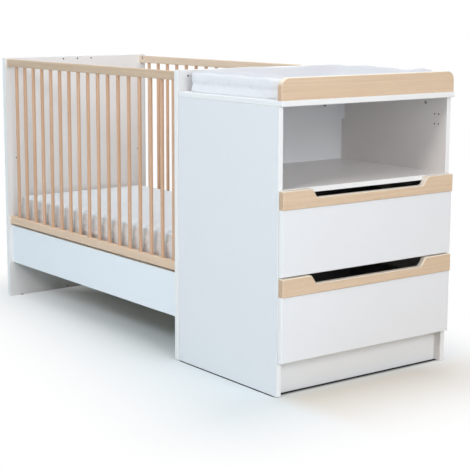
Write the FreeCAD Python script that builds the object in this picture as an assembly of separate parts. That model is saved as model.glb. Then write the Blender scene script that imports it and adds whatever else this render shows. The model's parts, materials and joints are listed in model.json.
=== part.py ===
"""A cot with slatted sides and, fixed to its foot end, a chest of two drawers with a changing top.

Sizes are in millimetres. While it is built, x runs from the inner face of the head panel towards
the chest, y from the front edges of the end panels to the rear, and z up from the floor. The
finished pieces are moved so that the origin lies on the floor below the middle of the whole.
"""
import FreeCAD, Part
import math
import os
from FreeCAD import Vector

os.makedirs("parts", exist_ok=True)

# Mattress and the room round it
MATTRESS_LENGTH = 1200.0
MATTRESS_WIDTH = 600.0
MATTRESS_HEIGHT = 110.0
MATTRESS_CORNER = 45.0
MATTRESS_EDGE = 16.0
MATTRESS_DRAW_IN = 4.0
MATTRESS_CROWN = 5.0
MATTRESS_CROWN_MARGIN = 90.0
MATTRESS_END_ROOM = 15.0
MATTRESS_SIDE_ROOM = 15.0
SOFT_CLEARANCE = 0.3

# End panels
PANEL_THICKNESS = 22.0
PANEL_RISE = 71.0
BOARD_EASING = 1.2
GLIDE_HEIGHT = 3.0
GLIDE_RADIUS = 8.0
PANEL_GLIDE_INSET = 60.0

# Slatted sides
RAIL_DEPTH = 20.0
RAIL_SETBACK = 10.0
RAIL_EASING = 3.0
TOP_RAIL_HEIGHT = 30.0
TOP_RAIL_DROP = 5.0
BOTTOM_RAIL_HEIGHT = 31.0
BOTTOM_RAIL_UNDERSIDE = 313.0
SLAT_WIDTH = 15.0
SLAT_THICKNESS = 10.0
SLAT_EASING = 2.5
SLAT_GAP = 56.0
SLAT_FIRST_GAP = 55.0
SLAT_TENON = 10.0
MORTISE_CLEARANCE = 0.2

# Aprons under the slatted sides
APRON_HEIGHT = 156.0
APRON_THICKNESS = 18.0
APRON_SETBACK = 16.0
APRON_SHADOW_GAP = 9.0

# Mattress base and the cleats that carry it
BASE_SIDE_ROOM = 5.0
BASE_END_ROOM = 7.0
BASE_RAIL_HEIGHT = 40.0
BASE_RAIL_WIDTH = 20.0
BASE_TOP = 323.0
BASE_SLAT_THICKNESS = 8.0
BASE_SLAT_WIDTH = 60.0
BASE_SLAT_GAP = 45.0
CLEAT_THICKNESS = 22.0
CLEAT_HEIGHT = 40.0
CLEAT_END_ROOM = 2.0
CLEAT_BOLT_INSET = 7.0
UPPER_SEAT_RISE = 334.0

# Bolts and knock-down fittings; they and their holes have flat sides, to keep so many small pieces light
ROD_SIDES = 12
BOLT_RADIUS = 3.0
BOLT_HEAD_RADIUS = 6.0
BOLT_HEAD_HEIGHT = 3.5
BOLT_HOLD = 14.0
PIN_RADIUS = 3.5
PIN_HOLD = 11.0
CAM_RADIUS = 6.0
CAM_DEPTH = 12.5
CAM_OFFSET = 24.0
FITTING_CLEARANCE = 0.2

# Free holes in the end panels
SMALL_HOLE_RADIUS = 3.5
SMALL_HOLE_DEPTH = 10.0
EDGE_HOLE_DROP = 9.0
EDGE_HOLE_PITCH = 68.0
LINK_HOLE_DROP = 20.0

# Chest carcass
CHEST_SETBACK = 2.5
BAY_HEIGHT = 256.0
CHEST_BOARD = 18.0
TOP_EASING = 2.0
SHELF_THICKNESS = 16.0
SHELF_STEP = 2.0
BACK_THICKNESS = 4.0
BACK_INSET = 6.0
BACK_GROOVE_DEPTH = 6.0
GROOVE_CLEARANCE = 0.2
STRETCHER_THICKNESS = 16.0
BACK_RAIL_HEIGHT = 108.0
PLINTH_HEIGHT = 102.0
PLINTH_THICKNESS = 16.0
PLINTH_SETBACK = 30.0
CHEST_GLIDE_INSET = 45.0
TOP_CAM_FRONT = 100.0
TOP_CAM_BACK = 80.0
PEG_HOLE_RADIUS = 3.0
PEG_HOLE_FRONT = 38.0
PEG_HOLE_PITCH_X = 19.0
PEG_HOLE_PITCH_Z = 34.0
PEG_HOLE_DROP = 60.0
LINK_BOLT_INSET = 60.0

# Raised lip along the front of the changing top
LIP_HEIGHT = 69.0
LIP_THICKNESS = 20.0
LIP_SETBACK = 6.0
LIP_CORNER = 30.0
LIP_EASING = 2.0

# Drawers
DRAWER_NAMES = ("lower", "upper")
FRONT_HEIGHT = 270.0
FRONT_THICKNESS = 16.0
FRONT_GAP = 2.0
FRONT_REVEAL = 3.0
FRONT_SPACING = 4.0
FRONT_PLINTH_GAP = 8.0
FRONT_EASING = 2.0
STRIP_HEIGHT = 59.0
STRIP_THICKNESS = 20.0
STRIP_CORNER = 4.0
NOTCH_TOP_WIDTH = 502.0
NOTCH_SLANT = 20.0
NOTCH_DEPTH = 29.0
NOTCH_ROUNDING = 14.0
BOX_HEIGHT = 170.0
BOX_BACK_ROOM = 52.0
BOX_WALL = 12.0
BOX_RAISE = 18.0
BOX_FLOOR_THICKNESS = 4.0
BOX_FLOOR_RAISE = 10.0
BOX_FLOOR_GROOVE = 6.0
RUNNER_ROOM = 3.0
RUNNER_HEIGHT = 16.0
RUNNER_GROOVE_DEPTH = 6.0
RUNNER_RAISE = 77.0
RUNNER_FRONT_STOP = 40.0
RUNNER_BACK_INSET = 20.0
RUNNER_CLEARANCE = 0.3

# Changing mat
MAT_LENGTH = 700.0
MAT_DEPTH = 500.0
MAT_HEIGHT = 78.0
MAT_CORNER = 60.0
MAT_PAD_HEIGHT = 38.0
MAT_BOLSTER = 34.0
MAT_INNER_SLOPE = 80.0
MAT_INNER_CORNER = 50.0
MAT_EDGE = 14.0
MAT_SEAM_HEIGHT = 20.0
MAT_SEAM_DEPTH = 6.0
MAT_BACK_ROOM = 6.0
MAT_FRONT_ROOM = 22.0
MAT_SIDE_ROOM = 22.0

# Places worked out from the sizes above: the chest, which the changing mat and the drawers size
CHEST_WIDTH = MAT_LENGTH + 2 * MAT_SIDE_ROOM
TOP_DEPTH = MAT_BACK_ROOM + MAT_DEPTH + MAT_FRONT_ROOM + LIP_THICKNESS + LIP_SETBACK
FRONT_BOTTOM = GLIDE_HEIGHT + PLINTH_HEIGHT + FRONT_PLINTH_GAP
FRONT_PITCH = FRONT_HEIGHT + FRONT_SPACING
SHELF_TOP = FRONT_BOTTOM + len(DRAWER_NAMES) * FRONT_PITCH - FRONT_SPACING + SHELF_STEP
TOP_UNDERSIDE = SHELF_TOP + BAY_HEIGHT
CHEST_TOP_HEIGHT = TOP_UNDERSIDE + CHEST_BOARD

# The cot, which the mattress sizes; its panels rise above the changing top
INNER_LENGTH = MATTRESS_LENGTH + 2 * MATTRESS_END_ROOM
INNER_WIDTH = MATTRESS_WIDTH + 2 * MATTRESS_SIDE_ROOM
PANEL_WIDTH = INNER_WIDTH + 2 * (RAIL_DEPTH + RAIL_SETBACK)
PANEL_TOP = CHEST_TOP_HEIGHT + PANEL_RISE
HEAD_OUTER = -PANEL_THICKNESS
TOP_RAIL_TOP = PANEL_TOP - TOP_RAIL_DROP
TOP_RAIL_UNDERSIDE = TOP_RAIL_TOP - TOP_RAIL_HEIGHT
BOTTOM_RAIL_TOP = BOTTOM_RAIL_UNDERSIDE + BOTTOM_RAIL_HEIGHT
APRON_TOP = BOTTOM_RAIL_UNDERSIDE - APRON_SHADOW_GAP
APRON_INNER = APRON_SETBACK + APRON_THICKNESS
SLAT_PITCH = SLAT_WIDTH + SLAT_GAP
SLAT_COUNT = 1 + int((INNER_LENGTH - SLAT_FIRST_GAP - SLAT_WIDTH) // SLAT_PITCH)
BASE_EDGE = APRON_INNER + BASE_SIDE_ROOM
BASE_RAIL_TOP = BASE_TOP - BASE_SLAT_THICKNESS
BASE_RAIL_UNDERSIDE = BASE_RAIL_TOP - BASE_RAIL_HEIGHT
CLEAT_EDGE = APRON_INNER + CLEAT_END_ROOM
CLEAT_BOLT_HEIGHT = BASE_RAIL_UNDERSIDE - CLEAT_HEIGHT / 2
CLEAT_BOLT_ROWS = (CLEAT_EDGE + CLEAT_BOLT_INSET, PANEL_WIDTH - CLEAT_EDGE - CLEAT_BOLT_INSET)

# Where the chest and its drawers stand behind the foot panel
CHEST_BACK = INNER_LENGTH + PANEL_THICKNESS
FRONT_FACE = CHEST_BACK + TOP_DEPTH
FRONT_BACK_FACE = FRONT_FACE - FRONT_THICKNESS
CHEST_FRONT = FRONT_BACK_FACE - FRONT_GAP
STRIP_FACE = FRONT_BACK_FACE + STRIP_THICKNESS
CHEST_NEAR = CHEST_SETBACK
CHEST_FAR = CHEST_NEAR + CHEST_WIDTH
CHEST_MIDDLE = (CHEST_NEAR + CHEST_FAR) / 2
BAY_NEAR = CHEST_NEAR + CHEST_BOARD
BAY_FAR = CHEST_FAR - CHEST_BOARD
FRONT_NEAR = CHEST_NEAR + FRONT_REVEAL
FRONT_FAR = CHEST_FAR - FRONT_REVEAL
BACK_FACE = CHEST_BACK + BACK_INSET + BACK_THICKNESS
STRETCHER_FACE = BACK_FACE + STRETCHER_THICKNESS
LINK_BOLT_HEIGHT = TOP_UNDERSIDE - BACK_RAIL_HEIGHT / 2
LINK_BOLT_ROWS = (max(0.0, BAY_NEAR) + LINK_BOLT_INSET, min(PANEL_WIDTH, BAY_FAR) - LINK_BOLT_INSET)
BOX_NEAR = BAY_NEAR + RUNNER_ROOM
BOX_FAR = BAY_FAR - RUNNER_ROOM
BOX_BACK = STRETCHER_FACE + BOX_BACK_ROOM

X_MIDDLE = (HEAD_OUTER + STRIP_FACE) / 2
Y_MIDDLE = (min(0.0, CHEST_NEAR) + max(PANEL_WIDTH, CHEST_FAR)) / 2

X_AXIS = Vector(1, 0, 0)
Y_AXIS = Vector(0, 1, 0)
Z_AXIS = Vector(0, 0, 1)


def block(x0, x1, y0, y1, z0, z1):
    """A rectangular block between two corners."""
    return Part.makeBox(x1 - x0, y1 - y0, z1 - z0, Vector(x0, y0, z0))


def board(x0, x1, y0, y1, z0, z1, easing=BOARD_EASING):
    """A block with all its edges slightly broken."""
    solid = block(x0, x1, y0, y1, z0, z1)
    return solid.makeChamfer(easing, solid.Edges)


def rod(x, y, z, axis, length, radius):
    """A many-sided rod that starts at a point and runs along an axis; a negative length runs backwards."""
    spoke = (X_AXIS if axis == Z_AXIS else Z_AXIS) * radius
    turns = [FreeCAD.Rotation(axis, 360 * (i % ROD_SIDES) / ROD_SIDES) for i in range(ROD_SIDES + 1)]
    outline = Part.makePolygon([Vector(x, y, z) + turn.multVec(spoke) for turn in turns])
    return Part.Face(outline).extrude(axis * length)


def edges_at_x(solid, x):
    """The edges of a solid that lie in the plane at x."""
    return [edge for edge in solid.Edges if all(abs(v.Point.x - x) < 1e-6 for v in edge.Vertexes)]


def edges_along_x(solid):
    """The straight edges of a solid that run along x."""
    found = []
    for edge in solid.Edges:
        ends = [v.Point for v in edge.Vertexes]
        if len(ends) == 2 and abs(ends[1].y - ends[0].y) + abs(ends[1].z - ends[0].z) < 1e-6:
            found.append(edge)
    return found


def rounded_outline(corners):
    """A closed wire through (point, radius) corners, each turned by a tangent arc where it has a radius."""
    count = len(corners)
    runs = []
    for i, (point, radius) in enumerate(corners):
        if radius == 0:
            runs.append((point, None, point))
            continue
        back = (corners[i - 1][0] - point).normalize()
        ahead = (corners[(i + 1) % count][0] - point).normalize()
        half_angle = back.getAngle(ahead) / 2
        bisector = (back + ahead).normalize()
        centre = point + bisector * (radius / math.sin(half_angle))
        reach = radius / math.tan(half_angle)
        runs.append((point + back * reach, centre - bisector * radius, point + ahead * reach))
    edges = []
    for i, (start, middle, end) in enumerate(runs):
        if middle is not None:
            edges.append(Part.Arc(start, middle, end).toShape())
        edges.append(Part.LineSegment(end, runs[(i + 1) % count][0]).toShape())
    return Part.Wire(edges)


def rounded_rectangle(x0, x1, y0, y1, z, radius):
    """A level rectangle with round corners."""
    points = [Vector(x0, y0, z), Vector(x1, y0, z), Vector(x1, y1, z), Vector(x0, y1, z)]
    return rounded_outline([(point, radius) for point in points])


def cushion(x0, x1, y0, y1, z0, sections, corner):
    """A soft block lofted through level outlines, each given as (height, inset from the rectangle)."""
    wires = []
    for height, inset in sections:
        radius = max(corner - inset, corner / 3)
        wires.append(rounded_rectangle(x0 + inset, x1 - inset, y0 + inset, y1 - inset, z0 + height, radius))
    return Part.makeLoft(wires, True, True)


def upright(x0, x1, y0, y1, z0, z1, easing):
    """A block whose four standing edges are broken."""
    solid = block(x0, x1, y0, y1, z0, z1)
    standing = [edge for edge in solid.Edges if abs(edge.Vertexes[1].Z - edge.Vertexes[0].Z) > 0]
    return solid.makeChamfer(easing, standing)


def span(outer, inward, near, far):
    """Two places across the cot, counted inwards from the outer edge of a side, in rising order."""
    return sorted((outer + inward * near, outer + inward * far))


# The two long sides: the name, the outer edge in y, and the direction that leads inwards
SIDES = (("front", 0.0, 1), ("rear", PANEL_WIDTH, -1))
# The two ends of every long piece: the panel's inner face in x, and the direction into the cot
ENDS = ((0.0, 1), (INNER_LENGTH, -1))


def joined_pieces():
    """Each piece that pins join to the end panels: its name, pin height, outer and inner distance in y.

    In a rail the pin runs through the middle of the wood that the slats' tenons leave.
    """
    rail_inner = RAIL_SETBACK + RAIL_DEPTH
    top_height = TOP_RAIL_TOP - (TOP_RAIL_HEIGHT - SLAT_TENON) / 2
    bottom_height = BOTTOM_RAIL_UNDERSIDE + (BOTTOM_RAIL_HEIGHT - SLAT_TENON) / 2
    return (("top_rail", top_height, RAIL_SETBACK, rail_inner),
            ("bottom_rail", bottom_height, RAIL_SETBACK, rail_inner),
            ("apron", APRON_TOP - APRON_HEIGHT / 2, APRON_SETBACK, APRON_INNER))


def pin(face, into_cot, y, z, clearance):
    """A steel pin across the face of an end panel, up to the cam in the piece that it holds."""
    start = face - into_cot * (PIN_HOLD + clearance)
    reach = PIN_HOLD + CAM_OFFSET - CAM_RADIUS - FITTING_CLEARANCE + 2 * clearance
    return rod(start, y, z, X_AXIS, into_cot * reach, PIN_RADIUS + clearance)


def cam(face, into_cot, inner_y, inward, z, clearance):
    """A round cam let into the hidden inner face of a rail or an apron."""
    depth = CAM_DEPTH + clearance
    return rod(face + into_cot * CAM_OFFSET, inner_y, z, Y_AXIS, -inward * depth, CAM_RADIUS + clearance)


def frame_fittings(clearance):
    """All pins and cams of the cot's frame, or their bores when given a clearance."""
    pins = []
    cams = []
    for _, outer, inward in SIDES:
        for _, height, near, far in joined_pieces():
            for face, into_cot in ENDS:
                pins.append(pin(face, into_cot, outer + inward * (near + far) / 2, height, clearance))
                cams.append(cam(face, into_cot, outer + inward * far, inward, height, clearance))
    return pins, cams


def slat_row(outer, inward, overlap, clearance):
    """One side's slats, reaching into both rails, or the mortises for them when given a clearance."""
    middle = RAIL_SETBACK + RAIL_DEPTH / 2
    half = SLAT_THICKNESS / 2 + clearance
    y0, y1 = span(outer, inward, middle - half, middle + half)
    slats = []
    for i in range(SLAT_COUNT):
        x0 = SLAT_FIRST_GAP + i * SLAT_PITCH
        slats.append(upright(x0 - clearance, x0 + SLAT_WIDTH + clearance, y0, y1,
                             BOTTOM_RAIL_TOP - overlap, TOP_RAIL_UNDERSIDE + overlap,
                             SLAT_EASING))
    return slats


def slatted_side(name, outer, inward, bores):
    """The rails, the slats and the apron of one long side."""
    rail_y = span(outer, inward, RAIL_SETBACK, RAIL_SETBACK + RAIL_DEPTH)
    apron_y = span(outer, inward, APRON_SETBACK, APRON_INNER)
    mortises = slat_row(outer, inward, SLAT_TENON, MORTISE_CLEARANCE)
    pieces = {}
    for rail, bottom, top in (("top_rail", TOP_RAIL_UNDERSIDE, TOP_RAIL_TOP),
                              ("bottom_rail", BOTTOM_RAIL_UNDERSIDE, BOTTOM_RAIL_TOP)):
        solid = block(0, INNER_LENGTH, *rail_y, bottom, top)
        solid = solid.makeFillet(RAIL_EASING, edges_along_x(solid))
        pieces[f"{name}_{rail}"] = solid.cut(mortises + bores)
    pieces[f"{name}_slats"] = Part.makeCompound(slat_row(outer, inward, SLAT_TENON, 0.0))
    apron = block(0, INNER_LENGTH, *apron_y, APRON_TOP - APRON_HEIGHT, APRON_TOP)
    pieces[f"{name}_apron"] = apron.makeFillet(BOARD_EASING, edges_along_x(apron)).cut(bores)
    return pieces


def cleat_bolt(face, into_cot, y, clearance):
    """A bolt through a cleat into an end panel, with its head on the cleat."""
    head_seat = face + into_cot * CLEAT_THICKNESS
    shank = rod(head_seat, y, CLEAT_BOLT_HEIGHT, X_AXIS,
                -into_cot * (CLEAT_THICKNESS + BOLT_HOLD + clearance), BOLT_RADIUS + clearance)
    head = rod(head_seat, y, CLEAT_BOLT_HEIGHT, X_AXIS, into_cot * BOLT_HEAD_HEIGHT, BOLT_HEAD_RADIUS)
    return shank if clearance else shank.fuse(head).removeSplitter()


def cleat_bolts(clearance):
    """The bolts of both cleats, or their bores when given a clearance."""
    bolts = []
    for face, into_cot in ENDS:
        for y in CLEAT_BOLT_ROWS:
            bolts.append(cleat_bolt(face, into_cot, y, clearance))
    return bolts


def free_panel_holes(face, into_cot):
    """Holes that a panel's inner face shows: the upper bolt seats, and rows for the later bed."""
    into_board = -into_cot * SMALL_HOLE_DEPTH
    holes = []
    for y in CLEAT_BOLT_ROWS:
        upper = CLEAT_BOLT_HEIGHT + UPPER_SEAT_RISE
        holes.append(rod(face, y, upper, X_AXIS, -into_cot * BOLT_HOLD, BOLT_RADIUS + FITTING_CLEARANCE))
    for i in (-1, 0, 1):
        y = PANEL_WIDTH / 2 + i * EDGE_HOLE_PITCH
        for z in (GLIDE_HEIGHT + EDGE_HOLE_DROP, PANEL_TOP - EDGE_HOLE_DROP):
            holes.append(rod(face, y, z, X_AXIS, into_board, SMALL_HOLE_RADIUS))
    return holes


def link_bolts(clearance):
    """Bolts that clamp the chest to the foot panel, or their bores when given a clearance."""
    bolts = []
    length = STRETCHER_FACE - CHEST_BACK + BOLT_HOLD + clearance
    for y in LINK_BOLT_ROWS:
        shank = rod(STRETCHER_FACE, y, LINK_BOLT_HEIGHT, X_AXIS, -length, BOLT_RADIUS + clearance)
        head = rod(STRETCHER_FACE, y, LINK_BOLT_HEIGHT, X_AXIS, BOLT_HEAD_HEIGHT, BOLT_HEAD_RADIUS)
        bolts.append(shank if clearance else shank.fuse(head).removeSplitter())
    return bolts


def end_panels(bores):
    """The head panel and the foot panel, drilled on the faces that look into the cot."""
    head = board(HEAD_OUTER, 0, 0, PANEL_WIDTH, GLIDE_HEIGHT, PANEL_TOP)
    foot = board(INNER_LENGTH, CHEST_BACK, 0, PANEL_WIDTH, GLIDE_HEIGHT, PANEL_TOP)
    link_holes = [rod(CHEST_BACK, y, PANEL_TOP - LINK_HOLE_DROP, X_AXIS, -SMALL_HOLE_DEPTH, SMALL_HOLE_RADIUS)
                  for y in CLEAT_BOLT_ROWS]
    link_holes += link_bolts(FITTING_CLEARANCE)
    return {"head_panel": head.cut(bores + free_panel_holes(*ENDS[0])),
            "foot_panel": foot.cut(bores + free_panel_holes(*ENDS[1]) + link_holes)}


def mattress_base():
    """A slatted base: two long rails, two cross rails between them and a row of slats on top."""
    x0 = BASE_END_ROOM
    x1 = INNER_LENGTH - BASE_END_ROOM
    y0 = BASE_EDGE
    y1 = PANEL_WIDTH - BASE_EDGE
    levels = (BASE_RAIL_UNDERSIDE, BASE_RAIL_TOP)
    cross_y = (y0 + BASE_RAIL_WIDTH, y1 - BASE_RAIL_WIDTH)
    cross = [block(x0, x0 + BASE_RAIL_WIDTH, *cross_y, *levels),
             block(x1 - BASE_RAIL_WIDTH, x1, *cross_y, *levels)]
    pitch = BASE_SLAT_WIDTH + BASE_SLAT_GAP
    count = 1 + int((x1 - x0 - BASE_SLAT_WIDTH) // pitch)
    margin = (x1 - x0 - BASE_SLAT_WIDTH - (count - 1) * pitch) / 2
    slats = []
    for i in range(count):
        start = x0 + margin + i * pitch
        slats.append(board(start, start + BASE_SLAT_WIDTH, y0, y1, BASE_RAIL_TOP, BASE_TOP))
    return {"base_front_rail": block(x0, x1, y0, y0 + BASE_RAIL_WIDTH, *levels),
            "base_rear_rail": block(x0, x1, y1 - BASE_RAIL_WIDTH, y1, *levels),
            "base_cross_rails": Part.makeCompound(cross),
            "base_slats": Part.makeCompound(slats)}


def base_cleats():
    """The two cleats on the end panels that the base's long rails lie on."""
    pieces = {}
    for name, (face, into_cot) in zip(("head_cleat", "foot_cleat"), ENDS):
        x0, x1 = sorted((face, face + into_cot * CLEAT_THICKNESS))
        top = BASE_RAIL_UNDERSIDE
        cleat = block(x0, x1, CLEAT_EDGE, PANEL_WIDTH - CLEAT_EDGE, top - CLEAT_HEIGHT, top)
        pieces[name] = cleat.cut(cleat_bolts(FITTING_CLEARANCE))
    return pieces


def mattress():
    """A foam mattress with soft edges, sides drawn in at half height and a slightly crowned top."""
    shoulder = MATTRESS_HEIGHT - MATTRESS_CROWN
    edge = MATTRESS_EDGE
    sections = [(0.0, edge), (0.3 * edge, 0.3 * edge), (edge, 0.0),
                (shoulder / 2, MATTRESS_DRAW_IN),
                (shoulder - edge, 0.0), (shoulder - 0.5 * edge, 0.13 * edge),
                (shoulder - 0.13 * edge, 0.5 * edge), (shoulder, edge),
                (MATTRESS_HEIGHT - 0.3 * MATTRESS_CROWN, edge + 0.4 * MATTRESS_CROWN_MARGIN),
                (MATTRESS_HEIGHT, edge + MATTRESS_CROWN_MARGIN)]
    y0 = (PANEL_WIDTH - MATTRESS_WIDTH) / 2
    return cushion(MATTRESS_END_ROOM, INNER_LENGTH - MATTRESS_END_ROOM, y0, y0 + MATTRESS_WIDTH,
                   BASE_TOP + SOFT_CLEARANCE, sections, MATTRESS_CORNER)


def changing_mat():
    """A padded mat whose back and two sides rise as bolsters, with a seam drawn in round its foot."""
    edge = MAT_EDGE
    seam = MAT_SEAM_HEIGHT
    top = MAT_HEIGHT
    outer = [(0.0, edge), (0.25 * seam, 0.25 * edge), (0.6 * seam, 0.0), (seam, MAT_SEAM_DEPTH),
             (1.5 * seam, 0.0), (top - 2 * edge, 0.1 * edge), (top - edge, 0.35 * edge),
             (top - 0.3 * edge, edge), (top, 1.9 * edge)]
    x0 = CHEST_BACK + MAT_BACK_ROOM
    x1 = x0 + MAT_DEPTH
    y0 = CHEST_MIDDLE - MAT_LENGTH / 2
    y1 = y0 + MAT_LENGTH
    z0 = CHEST_TOP_HEIGHT + SOFT_CLEARANCE
    body = cushion(x0, x1, y0, y1, z0, outer, MAT_CORNER)
    drop = top - MAT_PAD_HEIGHT
    hollow = []
    slope = ((-0.1, 0.0), (0.08, 0.08), (0.35, 0.25), (0.7, 0.5), (0.92, 0.75), (1.0, 1.0))
    for share_down, share_in in slope:
        inset = MAT_BOLSTER + share_in * MAT_INNER_SLOPE
        hollow.append(rounded_rectangle(x0 + inset, x1 + MAT_DEPTH / 4, y0 + inset, y1 - inset,
                                        z0 + top - share_down * drop, MAT_INNER_CORNER))
    return body.cut(Part.makeLoft(hollow, True, True))


def glide(x, y):
    """A round glide under a standing board."""
    return rod(x, y, 0.0, Z_AXIS, GLIDE_HEIGHT, GLIDE_RADIUS)


def glides():
    """The glides under the end panels and under the chest's sides."""
    panel_x = (HEAD_OUTER / 2, INNER_LENGTH + PANEL_THICKNESS / 2)
    panel_y = (PANEL_GLIDE_INSET, PANEL_WIDTH - PANEL_GLIDE_INSET)
    chest_x = (CHEST_BACK + CHEST_GLIDE_INSET, CHEST_FRONT - CHEST_GLIDE_INSET)
    chest_y = (CHEST_NEAR + CHEST_BOARD / 2, CHEST_FAR - CHEST_BOARD / 2)
    return {"panel_glides": Part.makeCompound([glide(x, y) for x in panel_x for y in panel_y]),
            "chest_glides": Part.makeCompound([glide(x, y) for x in chest_x for y in chest_y])}


# The chest's standing sides: the inner face in y, and the direction from it into the board
CHEST_SIDES = ((BAY_NEAR, -1), (BAY_FAR, 1))


def top_fittings(clearance):
    """Pins and cams that hold the changing top on the chest's sides, or their bores."""
    pins = []
    cams = []
    reach = PIN_HOLD + CAM_OFFSET - CAM_RADIUS - FITTING_CLEARANCE + 2 * clearance
    for inner, into_board in CHEST_SIDES:
        y = inner + into_board * CHEST_BOARD / 2
        for x in (CHEST_BACK + TOP_CAM_BACK, CHEST_FRONT - TOP_CAM_FRONT):
            pins.append(rod(x, y, TOP_UNDERSIDE + PIN_HOLD + clearance, Z_AXIS,
                            -reach, PIN_RADIUS + clearance))
            cams.append(rod(x, inner, TOP_UNDERSIDE - CAM_OFFSET, Y_AXIS,
                            into_board * (CAM_DEPTH + clearance), CAM_RADIUS + clearance))
    return pins, cams


def peg_holes():
    """Two by two small holes near the front of the open bay, in both sides."""
    holes = []
    for inner, into_board in CHEST_SIDES:
        for i in (0, 1):
            for j in (0, 1):
                x = CHEST_FRONT - PEG_HOLE_FRONT - i * PEG_HOLE_PITCH_X
                z = TOP_UNDERSIDE - PEG_HOLE_DROP - j * PEG_HOLE_PITCH_Z
                holes.append(rod(x, inner, z, Y_AXIS, into_board * SMALL_HOLE_DEPTH, PEG_HOLE_RADIUS))
    return holes


def chest_carcass():
    """The chest's sides, top, shelf, back, stretchers and plinth."""
    pins, cams = top_fittings(FITTING_CLEARANCE)
    back_x = (CHEST_BACK + BACK_INSET, BACK_FACE)
    groove = block(back_x[0] - GROOVE_CLEARANCE, back_x[1] + GROOVE_CLEARANCE,
                   BAY_NEAR - BACK_GROOVE_DEPTH, BAY_FAR + BACK_GROOVE_DEPTH, 0, TOP_UNDERSIDE + BOARD_EASING)
    cuts = pins + cams + peg_holes() + [groove]
    levels = (GLIDE_HEIGHT, TOP_UNDERSIDE)
    left = board(CHEST_BACK, CHEST_FRONT, CHEST_NEAR, BAY_NEAR, *levels)
    right = board(CHEST_BACK, CHEST_FRONT, BAY_FAR, CHEST_FAR, *levels)
    top = board(CHEST_BACK, FRONT_FACE, CHEST_NEAR, CHEST_FAR, TOP_UNDERSIDE, CHEST_TOP_HEIGHT, TOP_EASING)
    inset = BACK_GROOVE_DEPTH - GROOVE_CLEARANCE
    back = block(*back_x, BAY_NEAR - inset, BAY_FAR + inset, *levels)
    bay = (BAY_NEAR, BAY_FAR)
    plinth_x = (CHEST_FRONT - PLINTH_SETBACK - PLINTH_THICKNESS, CHEST_FRONT - PLINTH_SETBACK)
    low = (GLIDE_HEIGHT, GLIDE_HEIGHT + PLINTH_HEIGHT)
    bolt_bores = link_bolts(FITTING_CLEARANCE)
    back_rail = block(BACK_FACE, STRETCHER_FACE, *bay, TOP_UNDERSIDE - BACK_RAIL_HEIGHT, TOP_UNDERSIDE)
    return {"chest_left_side": left.cut(cuts),
            "chest_right_side": right.cut(cuts),
            "changing_top": top.cut(pins),
            "chest_back": back.cut(bolt_bores),
            "chest_back_rail": back_rail.cut(bolt_bores),
            "chest_lower_rail": block(BACK_FACE, STRETCHER_FACE, *bay, *low),
            "chest_plinth": block(*plinth_x, *bay, *low),
            "open_shelf": block(BACK_FACE, CHEST_FRONT, *bay, SHELF_TOP - SHELF_THICKNESS, SHELF_TOP)}


def top_lip():
    """The beech lip along the front of the changing top, with round upper corners."""
    x = FRONT_FACE - LIP_SETBACK - LIP_THICKNESS
    z0 = CHEST_TOP_HEIGHT
    z1 = z0 + LIP_HEIGHT
    corners = [(Vector(x, CHEST_NEAR, z0), 0), (Vector(x, CHEST_FAR, z0), 0),
               (Vector(x, CHEST_FAR, z1), LIP_CORNER), (Vector(x, CHEST_NEAR, z1), LIP_CORNER)]
    lip = Part.Face(rounded_outline(corners)).extrude(X_AXIS * LIP_THICKNESS)
    rims = [edge for place in (x, x + LIP_THICKNESS) for edge in edges_at_x(lip, place)
            if max(v.Point.z for v in edge.Vertexes) > z0 + LIP_EASING]
    return lip.makeChamfer(LIP_EASING, rims)


def grip_strip(z0):
    """A beech strip on a drawer front; a wide notch with slanted, rounded sides is the finger grip."""
    x = FRONT_BACK_FACE
    z1 = z0 + STRIP_HEIGHT
    notch_top = NOTCH_TOP_WIDTH / 2
    notch_bottom = notch_top - NOTCH_SLANT
    floor = z1 - NOTCH_DEPTH
    corners = [(Vector(x, FRONT_NEAR, z0), 0), (Vector(x, FRONT_FAR, z0), 0),
               (Vector(x, FRONT_FAR, z1), STRIP_CORNER),
               (Vector(x, CHEST_MIDDLE + notch_top, z1), NOTCH_ROUNDING),
               (Vector(x, CHEST_MIDDLE + notch_bottom, floor), NOTCH_ROUNDING),
               (Vector(x, CHEST_MIDDLE - notch_bottom, floor), NOTCH_ROUNDING),
               (Vector(x, CHEST_MIDDLE - notch_top, z1), NOTCH_ROUNDING),
               (Vector(x, FRONT_NEAR, z1), STRIP_CORNER)]
    strip = Part.Face(rounded_outline(corners)).extrude(X_AXIS * STRIP_THICKNESS)
    return strip.makeChamfer(FRONT_EASING, edges_at_x(strip, STRIP_FACE))


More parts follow.
